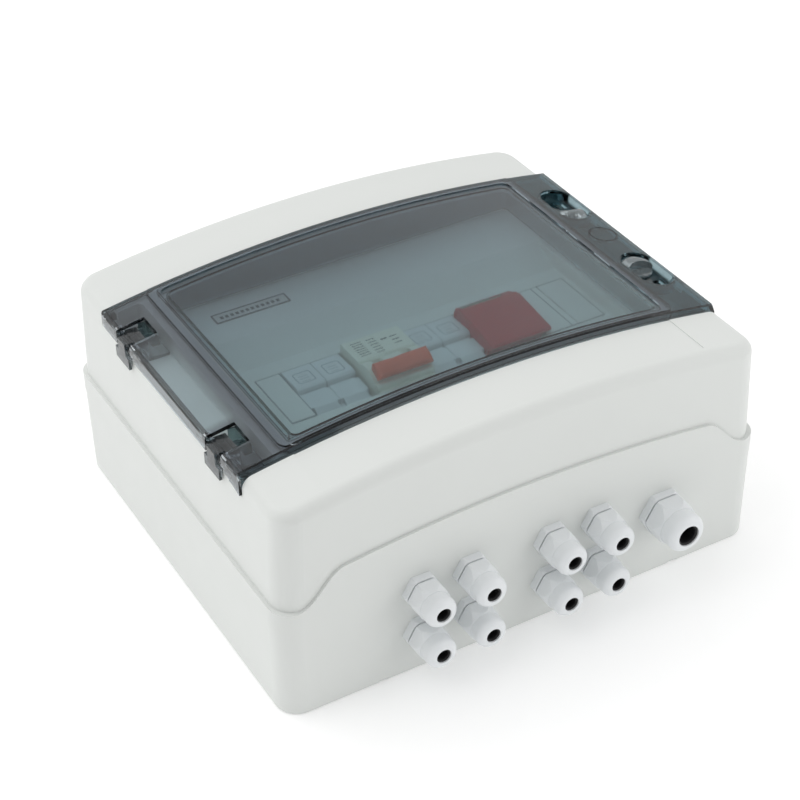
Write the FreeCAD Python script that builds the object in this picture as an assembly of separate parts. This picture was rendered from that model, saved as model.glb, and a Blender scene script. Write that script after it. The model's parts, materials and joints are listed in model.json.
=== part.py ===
import FreeCAD, Part
import math
import os
from FreeCAD import Vector

os.makedirs("parts", exist_ok=True)

# A wall box for joining solar strings: a plastic base and an arched lid with a sunk device
# panel, closed by a clear hinged door, holding fuse holders, a breaker and a surge arrester
# on a mounting rail. Millimetres. The box lies on its back: +Z points out of the wall, -Y is
# the cable side, +X is the latch side. The origin is the middle of the back face.

# ---------------------------------------------------------------- driving dimensions
WIDTH = 300.0               # over the lid's rim, along X
DEPTH = 260.0               # over the side walls, along Y
CROWN = 141.7               # height of the arched lid at its middle
SAG = 13.8                  # how far the arch falls from the middle to the side
WALL = 3.0
CORNER = 13.0               # radius of the four upright corners
BASE_DRAFT = 0.9            # the base narrows by this much at its back, each side
RIM_HEIGHT = 12.0           # of the band round the lid's lower edge
RIM_PROUD = 1.5             # the band stands out from the lid's wall
LID_TOP_X = 144.9           # half widths that the lid's walls lean in to, at LEAN_TOP
LID_TOP_Y = 127.9
LEAN_TOP = 150.0
TOP_ROUND = 7.0

DOOR_LEFT, DOOR_RIGHT = -147.4, 144.4
DOOR_FRONT, DOOR_BACK = -87.7, 86.7
DOOR_LIFT = 2.8             # the door's face stands this far above the arch
DOOR_SHEET = 2.4
DOOR_SLOPE = 3.0            # the front and back edges lean in by this much
DOOR_GAP = 0.35             # between the door's front and back edges and the lid
SEAT_DROP = 2.7             # the lid is lowered under the door
HINGE_WELL_Z, LATCH_WELL_Z = 117.0, 114.0   # floors of the wells beside the tray
DOOR_LIP_DROP = 2.2
HINGE_EDGE_ROUND = 2.2
DOOR_CORNER = 4.5           # plan radius at the back of the hinge side
LIP_SHEET = 1.8
LOCK_Y = 4.0                # middle of the round blank for a lock

TRAY_X = 113.5              # half width of the sunk device panel
TRAY_FRONT, TRAY_BACK = -80.0, 77.0
LEDGE_Z = 118.5             # upper floor of the tray
PANEL_Z = 110.0             # floor round the devices
PIT_X = 109.5
PANEL_SHEET = 2.4
WINDOW_LEFT, WINDOW_RIGHT = -92.8, 106.7
RAIL_Y = -16.5              # middle line of the rail and the window
WINDOW_HALF = 22.5

HINGE_X, HINGE_Z = -144.9, 125.6
HINGE_Y = (53.5, -58.5)     # middle of each hinge
HINGE_SLOT = 18.0
PIN_R = 1.25
RUNNING = 0.05              # radial clearance of a turning fit

LATCH_X = 133.0
LATCHES = {"back": (43.5, 35.0), "front": (-39.2, -30.6)}   # middle of the dish, of the knob
DISH_WIDTH, DISH_LENGTH = 19.6, 37.0
DISH_FLOOR = -3.2           # height of the finger dish's floor over the arch

RAIL_TOP = 57.0
MODULE = 17.6               # width of one device module
SCREWS_XY = [(132.0, 72.0), (-132.0, 74.0), (-132.0, -76.0), (132.0, -72.0)]
WALL_HOLE_R = 2.6
FRONT_NOTCH_X = (-92.0, 94.5)               # small notches under the cable side
WALL_HOLES = [(x, y) for x in (-130.0, 130.0) for y in (-110.0, 110.0)]

RAIL_SCREW_X = (-98.0, 98.0)
BRACKET_SCREW_Y = (RAIL_Y - 18.5, RAIL_Y + 18.5)
FUSE_X = (-77.4, -59.6, -4.4, 13.3)         # left side of each fuse holder
CARRIER_Y, CARRIER_Z = -34.5, 102.5         # axis of the fuse carriers' trunnions
BREAKER_X = (-40.0, -4.6)
HANDLE_Y, HANDLE_Z = -24.0, 105.0           # axis of the breaker's handle
HANDLE_IN, HANDLE_OUT = 13.4, 19.4
ARRESTER_X = (31.0, 66.6)
ARRESTER_OVERHANG = 3.0     # the arrester's cap is wider than its base on the right

BAR_Y, BAR_Z = 88.0, 24.0   # middle of the earth bar
BAR_X = (-70.0, 70.0)       # its two supports
BAR_CLAMPS = [-60.0 + 12.0 * i for i in range(11)]

# Cable glands: thread radius, width over the flats, length outside the wall, radius of the
# cable hole in the seal and of the nut's mouth, and the places on the cable side (X, Z).
GLANDS = {
    "small": {"thread": 7.6, "flats": 19.0, "length": 24.0, "cable": 3.3, "mouth": 4.3,
              "places": [(-69.0, 54.7), (-38.8, 54.7), (-69.0, 26.5), (-38.8, 26.5),
                         (11.1, 53.8), (41.4, 53.8), (10.1, 25.7), (40.4, 25.7)]},
    "large": {"thread": 11.2, "flats": 24.4, "length": 26.5, "cable": 5.2, "mouth": 6.5,
              "places": [(83.5, 42.9)]},
}
FLANGE = 4.8                # thickness of a gland's hexagonal flange
GLAND_STUB = 13.0           # the gland's threads reach this far from the wall's face, both ways
SEAL_START = 13.2           # distance of the rubber seal from the wall's face

ARCH_R = ((WIDTH / 2) ** 2 + SAG ** 2) / (2 * SAG)
UP = Vector(0, 0, 1)
PARTING_CROWN = 84.4        # height of the joint line at the middle of the front and back
PARTING_SHOULDER = 77.2
PARTING_SIDE = 57.0


# ---------------------------------------------------------------- helpers
def save(name, shape):
    shape.exportStep("parts/" + name + ".step")


def box(x0, x1, y0, y1, z0, z1):
    return Part.makeBox(x1 - x0, y1 - y0, z1 - z0, Vector(x0, y0, z0))


def rod(radius, start, end):
    """A cylinder from one point to another."""
    start, end = Vector(*start), Vector(*end)
    return Part.makeCylinder(radius, (end - start).Length, start, end - start)


def fuse(shapes):
    """Join a list of solids into one."""
    return shapes[0].multiFuse(shapes[1:]).removeSplitter()


def group(shapes):
    return Part.makeCompound(shapes)


def rounded_wire(x0, x1, y0, y1, z, radius):
    """A rectangle with round corners, as a level wire."""
    x0c, x1c, y0c, y1c = x0 + radius, x1 - radius, y0 + radius, y1 - radius
    k = radius * math.sqrt(0.5)
    corners = [(x1c, y0c, 1, -1), (x1c, y1c, 1, 1), (x0c, y1c, -1, 1), (x0c, y0c, -1, -1)]
    ends = []
    for x, y, sx, sy in corners:
        side = (Vector(x + sx * radius, y, z), Vector(x, y + sy * radius, z))
        if sx * sy < 0:
            side = (side[1], side[0])
        ends.append((side[0], Vector(x + sx * k, y + sy * k, z), side[1]))
    edges = []
    for i, (first, middle, last) in enumerate(ends):
        edges.append(Part.Arc(first, middle, last).toShape())
        edges.append(Part.makeLine(last, ends[(i + 1) % 4][0]))
    return Part.Wire(edges)


def rounded_block(x0, x1, y0, y1, z0, z1, radius):
    face = Part.Face(rounded_wire(x0, x1, y0, y1, z0, radius))
    return face.extrude(Vector(0, 0, z1 - z0))


def tapered_block(x_low, y_low, x_high, y_high, z0, z1, radius):
    """A block with upright rounded corners whose walls lean."""
    low = rounded_wire(-x_low, x_low, -y_low, y_low, z0, radius)
    high = rounded_wire(-x_high, x_high, -y_high, y_high, z1, radius)
    return Part.makeLoft([low, high], True, True)


def under_arch(lift):
    """Everything below the lid's arched surface, moved outward by lift."""
    centre = Vector(0, -200, CROWN - ARCH_R)
    drum = Part.makeCylinder(ARCH_R + lift, 400, centre, Vector(0, 1, 0))
    drum.rotate(centre, Vector(0, 1, 0), 90)
    return drum


def arch_z(x, lift=0.0):
    return CROWN - ARCH_R + math.sqrt((ARCH_R + lift) ** 2 - x ** 2)


def under_joint(shift):
    """Everything below the joint between base and lid, which rises over the cable side."""
    shoulder = 112.0
    curves = []
    for side in (-1, 1):
        poles = [Vector(side * 140.5, 0, PARTING_SIDE + shift),
                 Vector(side * 127.5, 0, PARTING_SIDE + shift),
                 Vector(side * 122.5, 0, PARTING_SHOULDER - 1.6 + shift),
                 Vector(side * shoulder, 0, PARTING_SHOULDER + shift)]
        curve = Part.BezierCurve()
        curve.setPoles(poles)
        curves.append((poles[0], curve.toShape(), poles[3]))
    left_low, left_curve, left_high = curves[0]
    right_low, right_curve, right_high = curves[1]
    crown = Vector(0, 0, PARTING_CROWN + shift)
    reach = 170.0
    bottom_left, bottom_right = Vector(-reach, 0, -30), Vector(reach, 0, -30)
    side_left = Vector(-reach, 0, PARTING_SIDE + shift)
    side_right = Vector(reach, 0, PARTING_SIDE + shift)
    wire = Part.Wire([
        Part.makeLine(bottom_left, side_left), Part.makeLine(side_left, left_low), left_curve,
        Part.Arc(left_high, crown, right_high).toShape(), right_curve,
        Part.makeLine(right_low, side_right), Part.makeLine(side_right, bottom_right),
        Part.makeLine(bottom_right, bottom_left)])
    return Part.Face(wire).extrude(Vector(0, 400, 0)).translated(Vector(0, -200, 0))


def side_profile(points, x0, x1):
    """A solid from an outline of (y, z) points, between two X positions."""
    outline = [Vector(x0, y, z) for y, z in points]
    return Part.Face(Part.makePolygon(outline + outline[:1])).extrude(Vector(x1 - x0, 0, 0))


def turned(points, centre, axis):
    """A solid of revolution from (radius, distance along axis) points."""
    outline = [Vector(r, 0, h) for r, h in points]
    solid = Part.Face(Part.makePolygon(outline + outline[:1])).revolve(Vector(0, 0, 0), UP, 360)
    solid.Placement = FreeCAD.Placement(Vector(*centre), FreeCAD.Rotation(UP, Vector(*axis)))
    return solid


def edges_where(shape, test):
    return [edge for edge in shape.Edges if test(edge)]


# ---------------------------------------------------------------- casing
def base_outline(inset):
    half_x, half_y = WIDTH / 2 - inset, DEPTH / 2 - inset
    radius = CORNER - inset
    return tapered_block(half_x - BASE_DRAFT, half_y, half_x, half_y, 0, PARTING_CROWN + 6, radius)


def rim_ring(outer_inset, inner_inset, low, high):
    """A band that follows the joint line, between two heights above it."""
    def column(inset):
        x, y = WIDTH / 2 - inset, DEPTH / 2 - inset
        return rounded_block(-x, x, -y, y, 30, 110, max(CORNER - inset, 4.0))
    ring = column(outer_inset).cut(column(inner_inset))
    return ring.common(under_joint(high)).cut(under_joint(low))


def make_base():
    outer = base_outline(0).common(under_joint(0))
    foot = edges_where(outer, lambda e: e.BoundBox.ZMax < 0.01)
    outer = outer.makeFillet(1.2, foot)
    inner = base_outline(WALL).cut(box(-200, 200, -200, 200, -10, WALL))
    shell = outer.cut(inner)
    rim = rim_ring(1.0, 7.0, -9.0, 0).common(base_outline(0.5))
    bosses = []
    for x, y in SCREWS_XY:
        bosses.append(rod(6.0, (x, y, 1.0), (x, y, 58.0)))
    for x, y in WALL_HOLES:
        bosses.append(rod(5.5, (x, y, 1.0), (x, y, 8.0)))
    base = fuse([shell, rim] + bosses)
    cuts = [rod(1.9, (x, y, 30.0), (x, y, 60.0)) for x, y in SCREWS_XY]
    for x, y in WALL_HOLES:
        cuts.append(rod(WALL_HOLE_R, (x, y, -1), (x, y, 12)))
    for size in GLANDS.values():
        for x, z in size["places"]:
            cuts.append(rod(size["thread"] + 0.2, (x, -140, z), (x, -120, z)))
    for x in FRONT_NOTCH_X:
        cuts.append(box(x - 3, x + 3, -131, -128.8, -1, 1.6))
    cuts.append(rim_ring(2.6, 5.2, -3.0, 1.0))
    return base.cut(group(cuts))


def make_gasket():
    return rim_ring(2.65, 5.15, -2.95, 0)


def lid_outline(inset):
    low_x, low_y = WIDTH / 2 - RIM_PROUD - inset, DEPTH / 2 - RIM_PROUD - inset
    return tapered_block(low_x, low_y, LID_TOP_X - inset, LID_TOP_Y - inset, 50, LEAN_TOP,
                         CORNER - inset)


def tray_profile(inset):
    """The tray's floor line in Y and Z, from its front wall to its back wall."""
    front, back = TRAY_FRONT - inset, TRAY_BACK + inset
    drop = inset
    return [(front, 150), (front, LEDGE_Z - drop), (-66.0, LEDGE_Z - drop),
            (-50.0, PANEL_Z - drop), (17.0, PANEL_Z - drop), (36.0, LEDGE_Z - drop),
            (back, LEDGE_Z - drop), (back, 150)]


def tray_space(inset):
    """The space inside the tray, grown by inset."""
    deep = side_profile(tray_profile(inset), -PIT_X - inset, PIT_X + inset)
    ledge = box(-TRAY_X - inset, TRAY_X + inset, TRAY_FRONT - inset, TRAY_BACK + inset,
                LEDGE_Z - inset, 150)
    return fuse([deep, ledge])


def rounded_tray_space():
    space = tray_space(0)
    upright = edges_where(space, lambda e: e.BoundBox.ZLength > 20 and e.BoundBox.XLength < 0.1
                          and e.BoundBox.YLength < 0.1)
    return space.makeFillet(6.0, upright)


def lid_shell():
    """The arched roof and the walls, open below, with the band round the lower edge."""
    outer = lid_outline(0).common(under_arch(0))
    outer = outer.makeFillet(TOP_ROUND, edges_where(outer, lambda e: e.BoundBox.ZMin > 120))
    outer = outer.cut(under_joint(0))
    cavity = lid_outline(WALL).common(under_arch(-SEAT_DROP - 2.7)).cut(under_joint(-40))
    band = rim_ring(0, 4.0, 0, RIM_HEIGHT)
    inner_rim = rim_ring(2.0, 7.0, 0, 6.0)
    return fuse([outer.cut(cavity), band, inner_rim])


def side_well(x0, x1, floor):
    """The block under one side of the door, which is hollowed out from above."""
    block = box(x0, x1, -85.0, 84.0, floor - 2.4, 140)
    return block.common(under_arch(-SEAT_DROP)).common(lid_outline(0.5))


def make_lid():
    sleeves = [rod(6.0, (x, y, 58.4), (x, y, 117.5)) for x, y in SCREWS_XY]
    wells = [side_well(-146.5, -121.5, HINGE_WELL_Z), side_well(118.4, 145.0, LATCH_WELL_Z)]
    lid = fuse([lid_shell()] + wells + sleeves)
    bed_front, bed_back = DOOR_FRONT - DOOR_GAP, DOOR_BACK + DOOR_GAP
    cuts = [box(-160, 160, bed_front, bed_back, 100, 160).cut(under_arch(-SEAT_DROP)),
            tray_space(PANEL_SHEET),
            rounded_block(-143.2, -124.0, -82.5, 81.5, HINGE_WELL_Z, 140, 3.0),
            rounded_block(120.4, 142.6, -82.5, 81.5, LATCH_WELL_Z, 140, 2.0),
            box(-160, -138, bed_front, bed_back, 121.4, 140),
            box(-160, -138, bed_front, -73.0, 118.3, 140),
            front_panel_step()]
    for x, y in SCREWS_XY:
        cuts.append(rod(2.7, (x, y, 50), (x, y, 125)))
    for middle, knob in LATCHES.values():
        cuts.append(box(142.0, 144.4, knob - 8.5, knob + 8.5, 115.5, 121.2))
        cuts.append(box(141.0, 150.0, middle - 21, middle + 21, 123.9, 140))
    return lid.cut(group(cuts))


def make_cover_plate():
    """The sunk plate round the devices: a tray bonded into the lid, with the device window."""
    block = tray_space(PANEL_SHEET).common(under_arch(-SEAT_DROP))
    window = box(WINDOW_LEFT, WINDOW_RIGHT, RAIL_Y - WINDOW_HALF, RAIL_Y + WINDOW_HALF, 100, 115)
    return block.cut(group([rounded_tray_space(), window]))


def front_panel_step():
    """A shallow sunk field on the lid's front band."""
    field = box(-116.5, 113.0, -119.0, DOOR_FRONT, 100, 160)
    return field.cut(under_arch(-0.4))


def make_lid_screws():
    screws = []
    for x, y in SCREWS_XY:
        seat = HINGE_WELL_Z if x < 0 else LATCH_WELL_Z
        head = rod(4.6, (x, y, seat + 0.05), (x, y, seat + 3.4))
        slot = box(x - 5, x + 5, y - 0.7, y + 0.7, seat + 2.0, seat + 4)
        head = head.makeFillet(0.6, edges_where(head, lambda e: e.BoundBox.ZMin > seat + 3))
        shank = rod(2.2, (x, y, seat + 1.0), (x, y, 58.5))
        thread = rod(1.85, (x, y, 59.0), (x, y, 34.0))
        screws.append(fuse([head.cut(slot), shank, thread]))
    return group(screws)


# ---------------------------------------------------------------- door
def swept_along_arch(points, x0, x1):
    """A solid whose (y, lift) section follows the lid's arch, cut off at two X positions."""
    outline = [Vector(0, y, CROWN + lift) for y, lift in points]
    face = Part.Face(Part.makePolygon(outline + outline[:1]))
    centre = Vector(0, 0, CROWN - ARCH_R)
    start = face.rotated(centre, Vector(0, 1, 0), -13)
    return start.revolve(centre, Vector(0, 1, 0), 26).common(box(x0, x1, -200, 200, 60, 160))


def latch_placement(y):
    tilt = math.asin(LATCH_X / ARCH_R)
    middle = Vector(LATCH_X, y, arch_z(LATCH_X))
    return FreeCAD.Placement(middle, FreeCAD.Rotation(Vector(0, 1, 0), math.degrees(tilt)))


def placed(shape, y):
    """Move a latch piece, made round the origin, to its place in the door."""
    copy = shape.copy()
    copy.Placement = latch_placement(y)
    return copy


def stadium(width, length, z0, z1):
    half = width / 2
    return rounded_block(-half, half, -length / 2, length / 2, z0, z1, half - 0.01)


def dish_cut(middle, knob):
    """The finger dish, the knob's bore and the window beside it, in the latch's own frame."""
    dish = stadium(DISH_WIDTH, DISH_LENGTH, DISH_FLOOR, DOOR_LIFT + 5)
    rim = stadium(DISH_WIDTH + 1.2, DISH_LENGTH + 1.2, DOOR_LIFT - 0.6, DOOR_LIFT + 5)
    side = 1 if knob < middle else -1
    bore = rod(3.0 + RUNNING, (0, knob - middle, -20), (0, knob - middle, 5))
    window = box(1.2, 6.4, -4, 4, -20, 5).translated(Vector(0, side * 9.0, 0))
    return fuse([dish, rim, bore, window])


def door_plan(inset):
    """A tall column over the door's plan, with the round corner at the back of the hinge side."""
    left, back, radius = DOOR_LEFT + inset, DOOR_BACK - inset, DOOR_CORNER - inset
    return rounded_block(left, 400, -400, back, 60, 200, radius)


def door_outer():
    """The outside of the door, with a round corner and a round long edge on the hinge side."""
    top, low = DOOR_LIFT, -DOOR_LIP_DROP
    front, back = DOOR_FRONT, DOOR_BACK
    outer = swept_along_arch([
        (front, low), (front, low + 1.6), (front + DOOR_SLOPE - 0.9, top - 0.7),
        (front + DOOR_SLOPE, top), (back - DOOR_SLOPE, top),
        (back - DOOR_SLOPE + 0.9, top - 0.7), (back, low + 1.6), (back, low)],
        DOOR_LEFT, DOOR_RIGHT)
    outer = outer.common(door_plan(0))
    long_edge = edges_where(outer, lambda e: e.BoundBox.YLength > 100 and e.BoundBox.XLength < 0.1
                            and e.BoundBox.XMax < 0 and e.BoundBox.ZMin > 128)
    return outer.makeFillet(HINGE_EDGE_ROUND, long_edge)


def door_inside():
    """The hollow under the door."""
    top, low = DOOR_LIFT, -DOOR_LIP_DROP
    front, back = DOOR_FRONT, DOOR_BACK
    hollow = swept_along_arch([
        (front + 2.2, low - 1), (front + 2.2, low + 1.2),
        (front + DOOR_SLOPE + 1.2, top - DOOR_SHEET), (back - DOOR_SLOPE - 1.2, top - DOOR_SHEET),
        (back - 2.2, low + 1.2), (back - 2.2, low - 1)],
        DOOR_LEFT + LIP_SHEET, DOOR_RIGHT - 2.0)
    return hollow.common(door_plan(LIP_SHEET))


def door_bead():
    """The raised band round the clear pane."""
    top, low = DOOR_LIFT, -DOOR_LIP_DROP
    front, back = DOOR_FRONT, DOOR_BACK
    bead = rounded_block(-121, 119, front + 1.5, back - 1.5, 120, 150, 8.0).cut(
        rounded_block(-115, 114, -81.0, 78.0, 110, 160, 6.0))
    bead = bead.common(under_arch(top + 0.8)).cut(under_arch(top - 0.5))
    return bead.common(swept_along_arch([
        (front, low), (front + 1.4, 0.9), (front + DOOR_SLOPE + 0.8, top + 0.8),
        (back - DOOR_SLOPE - 0.8, top + 0.8), (back - 1.4, 0.9), (back, low)], -130, 130))


def hinge_lip():
    """The flange that hangs down along the hinge side, deepest at its front tip."""
    front, back = DOOR_FRONT, DOOR_BACK
    lip = side_profile([(front, 119.3), (-73.5, 122.5), (back, 122.5), (back, 131.2), (front, 131.2)],
                       DOOR_LEFT, DOOR_LEFT + LIP_SHEET)
    lip = lip.common(under_arch(0)).common(door_plan(0))
    front_ear = box(DOOR_LEFT + 1.0, -141.0, front, front + 2.0, 122.5, 129.0)
    curve = door_plan(0).cut(door_plan(LIP_SHEET))
    back_ear = curve.common(box(DOOR_LEFT, -141.0, back - 8.0, back, 122.5, 129.0))
    return [lip, front_ear, back_ear]


def inner_rim():
    """The rim under the pane that reaches down inside the tray's walls."""
    outer = rounded_block(-112.3, 112.3, -78.8, 75.8, 121.0, 150, 5.0)
    inner = rounded_block(-110.7, 110.7, -77.2, 74.2, 110.0, 160, 3.4)
    return outer.cut(inner).common(under_arch(DOOR_LIFT - 0.5 * DOOR_SHEET))


def latch_lips():
    """Deeper stretches of the flange on the latch side, one beside each latch."""
    return [box(DOOR_RIGHT - 2.0, DOOR_RIGHT, middle - 20.5, middle + 20.5, 124.3, 129.5)
            for middle, knob in LATCHES.values()]


def make_door():
    lips = hinge_lip() + latch_lips() + [inner_rim()]
    door = fuse([door_outer().cut(door_inside()), door_bead()] + lips + knuckle_ears())
    cup = stadium(DISH_WIDTH + 3.0, DISH_LENGTH + 3.0, DISH_FLOOR - 1.6, DOOR_LIFT - 0.4)
    inside = box(120, DOOR_RIGHT, -100, 100, 100, 160)
    door = fuse([door] + [placed(cup, middle).common(inside) for middle, knob in LATCHES.values()])
    cuts = [placed(dish_cut(middle, knob), middle) for middle, knob in LATCHES.values()]
    for y in HINGE_Y:
        half = HINGE_SLOT / 2
        cuts.append(box(-160, -130.5, y - half, y + half, 110, 150))
        cuts.append(rod(PIN_R + RUNNING, (HINGE_X, y - 20, HINGE_Z), (HINGE_X, y + 20, HINGE_Z)))
    cuts.append(placed(rod(8.4, (0, 0, -6), (0, 0, 6)), LOCK_Y))
    return door.cut(group(cuts))


def knuckle_ears():
    """Lugs on the door, one each side of every hinge slot, that turn on the pins."""
    ears = []
    for y in HINGE_Y:
        for side in (-1, 1):
            inner = y + side * HINGE_SLOT / 2
            outer = inner + side * 4.0
            lug = rod(2.5, (HINGE_X, inner, HINGE_Z), (HINGE_X, outer, HINGE_Z))
            y0, y1 = min(inner, outer), max(inner, outer)
            web = box(HINGE_X - 2.4, HINGE_X + 2.4, y0, y1, HINGE_Z, HINGE_Z + 3.6)
            ears += [lug, web]
    return ears


def make_hinge_pin(y):
    reach = HINGE_SLOT / 2 + 3.8
    return rod(PIN_R, (HINGE_X, y - reach, HINGE_Z), (HINGE_X, y + reach, HINGE_Z))


def make_hinge_clip(y):
    """The clip on the lid that holds one hinge pin and hangs a tab outside the wall."""
    half = HINGE_SLOT / 2 - 0.4
    y0, y1 = y - half, y + half
    knuckle = rod(2.5, (HINGE_X, y0, HINGE_Z), (HINGE_X, y1, HINGE_Z))
    foot = box(-142.8, -124.6, y0 - 1.5, y1 + 4.0, HINGE_WELL_Z + 0.05, 119.0)
    block = box(-142.8, -136.0, y0, y1, 117.05, 129.6)
    bridge = box(HINGE_X, -137.0, y0, y1, 123.4, 128.0)
    crest = box(-148.6, -143.0, y0 + 4, y1 - 4, 126.6, 129.4)
    tab = box(-148.6, -146.9, y0, y1, 115.4, 122.2)
    neck = box(-148.6, -146.9, y0 + 4, y1 - 4, 115.4, 129.4)
    clip = fuse([knuckle, foot, block, bridge, crest, tab, neck])
    return clip.cut(rod(PIN_R, (HINGE_X, y - 20, HINGE_Z), (HINGE_X, y + 20, HINGE_Z)))


def make_door_gasket():
    outer = rounded_block(-120.4, 118.4, -83.2, 82.2, 110, 150, 7.6)
    inner = rounded_block(-116.2, 115.0, -80.4, 79.4, 100, 160, 5.5)
    ring = outer.cut(inner).common(under_arch(DOOR_LIFT - DOOR_SHEET - 0.1))
    return ring.cut(under_arch(-SEAT_DROP + 0.4))


def make_knob(side):
    """A turn knob: a round plate with a half-moon grip away from the finger dish."""
    floor = DISH_FLOOR
    plate = turned([(0, floor + 0.2), (9.2, floor + 0.2), (9.2, floor + 1.2), (8.6, floor + 1.7),
                    (0, floor + 1.7)], (0, 0, 0), (0, 0, 1))
    dome = turned([(0, floor + 1.0), (9.2, floor + 1.0), (9.2, floor + 3.4), (8.4, floor + 4.6),
                   (6.6, floor + 5.5), (3.8, floor + 6.1), (0, floor + 6.4)], (0, 0, 0), (0, 0, 1))
    scoop = rod(15.0, (0, side * 15.4, floor + 0.5), (0, side * 15.4, floor + 9))
    shaft = rod(3.0, (0, 0, floor + 0.5), (0, 0, floor - 5.4))
    square = box(-1.7, 1.7, -1.7, 1.7, floor - 8.4, floor - 5.2)
    knob = fuse([plate, dome.cut(scoop), shaft, square])
    return knob.cut(rod(0.9, (0, 0, floor - 12), (0, 0, floor - 1)))


def make_cam(side):
    """The cam under the door, which turns into the slot in the lid's wall."""
    top = DISH_FLOOR - 5.45
    arm = rounded_block(-3.6, 3.6, -3.6, 12.4, top - 2.6, top, 2.4)
    arm.rotate(Vector(0, 0, 0), UP, 0 if side > 0 else 180)
    return arm.cut(box(-1.75, 1.75, -1.75, 1.75, top - 5, top + 5))


def make_cam_screw():
    low = DISH_FLOOR - 8.45
    head = turned([(0, low - 1.5), (2.6, low - 1.5), (3.0, low - 0.8), (3.0, low), (0, low)],
                  (0, 0, 0), (0, 0, 1))
    return fuse([head, rod(0.85, (0, 0, low - 0.5), (0, 0, low + 5.0))])


def make_lock_disc():
    return placed(rod(8.05, (0, 0, DOOR_LIFT - DOOR_SHEET), (0, 0, DOOR_LIFT - 0.1)), LOCK_Y)


# ---------------------------------------------------------------- tray fittings
def make_blanking_strip(x0, x1, joints):
    """A blanking strip clipped into the window, scored where it can be snapped."""
    half = WINDOW_HALF - 0.4
    front, back = RAIL_Y - half, RAIL_Y + half
    strip = box(x0, x1, front, back, PANEL_Z - 2.6, PANEL_Z + 0.2)
    legs = [box(x0 + 2, x1 - 2, y, y + 1.6, PANEL_Z - 8, PANEL_Z) for y in (front, back - 1.6)]
    strip = fuse([strip] + legs)
    scores = [box(x - 0.35, x + 0.35, RAIL_Y - 30, RAIL_Y + 30, PANEL_Z - 1.2, PANEL_Z + 1)
              for x in joints]
    return strip.cut(group(scores)) if scores else strip


def make_label_plate():
    plate = box(-90.8, -44.6, 54.3, 63.4, LEDGE_Z, LEDGE_Z + 0.5)
    field = box(-90.0, -45.4, 55.1, 62.6, LEDGE_Z + 0.3, LEDGE_Z + 1)
    return plate.cut(field)


# ---------------------------------------------------------------- rail and devices
def make_rail():
    """A 35 mm top-hat rail, 1 mm thick."""
    top, low = RAIL_TOP, RAIL_TOP - 7.5
    right = [(13.5, low), (13.5, top - 1), (17.5, top - 1), (17.5, top), (12.5, top), (12.5, low + 1)]
    left = [(-y, z) for y, z in reversed(right)]
    rail = side_profile([(RAIL_Y + y, z) for y, z in right + left], -106, 106)
    slots = [rod(2.6, (x, RAIL_Y, low - 1), (x, RAIL_Y, low + 3)) for x in RAIL_SCREW_X]
    return rail.cut(group(slots))


def make_rail_brackets():
    brackets = []
    for x in RAIL_SCREW_X:
        post = box(x - 7, x + 7, RAIL_Y - 12, RAIL_Y + 12, WALL, RAIL_TOP - 7.5)
        foot = box(x - 7, x + 7, RAIL_Y - 24, RAIL_Y + 24, WALL, WALL + 4)
        screw = rod(1.7, (x, RAIL_Y, RAIL_TOP - 13), (x, RAIL_Y, RAIL_TOP))
        bracket = fuse([post, foot]).cut(screw)
        for y in BRACKET_SCREW_Y:
            bracket = bracket.cut(rod(2.2, (x, y, 0), (x, y, 12)))
        brackets.append(bracket)
    return group(brackets)


def pan_screw(x, y, z, shank, length, head=3.6):
    """A pan-head screw whose head rests at height z."""
    cap = turned([(0, 0), (head, 0), (head, 1.2), (head - 1.0, 2.1), (0, 2.3)], (x, y, z), (0, 0, 1))
    cross = fuse([box(x - 2.2, x + 2.2, y - 0.4, y + 0.4, z + 1.2, z + 3),
                  box(x - 0.4, x + 0.4, y - 2.2, y + 2.2, z + 1.2, z + 3)])
    return fuse([cap, rod(shank, (x, y, z - length), (x, y, z + 0.5))]).cut(cross)


def make_rail_screws():
    low = RAIL_TOP - 7.5
    return group([pan_screw(x, RAIL_Y, low + 1.0, 1.65, 6.0) for x in RAIL_SCREW_X])


def make_bracket_screws():
    return group([pan_screw(x, y, WALL + 4.0, 1.65, 3.9)
                  for x in RAIL_SCREW_X for y in BRACKET_SCREW_Y])


def device_outline(collar_top):
    """Side outline of a rail device: foot with rail notch, terminal shoulders and collar."""
    notch, foot, shoulder = 17.7, 40.0, 94.0
    half = WINDOW_HALF - 0.3
    points = [(-notch, RAIL_TOP + 0.1), (-notch, RAIL_TOP - 3.5), (-notch - 5, RAIL_TOP - 5.0),
              (-foot, RAIL_TOP - 5.0), (-foot, shoulder - 6), (-foot + 6, shoulder), (-half, shoulder),
              (-half, collar_top), (half, collar_top), (half, shoulder), (foot - 6, shoulder),
              (foot, shoulder - 6), (foot, RAIL_TOP - 5.0), (notch + 5, RAIL_TOP - 5.0),
              (notch, RAIL_TOP - 3.5), (notch, RAIL_TOP + 0.1)]
    return [(RAIL_Y + y, z) for y, z in points]


def terminal_holes(x):
    """Wire entries and screw wells of one module."""
    cuts = []
    for side in (-1, 1):
        end = RAIL_Y + side * 40.0
        inner = end - side * 12.0
        cuts.append(rod(3.4, (x, end + side, 84.0), (x, inner, 84.0)))
        cuts.append(rod(3.0, (x, end - side * 8.0, 84.0), (x, end - side * 8.0, 100.0)))
    return cuts


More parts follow.
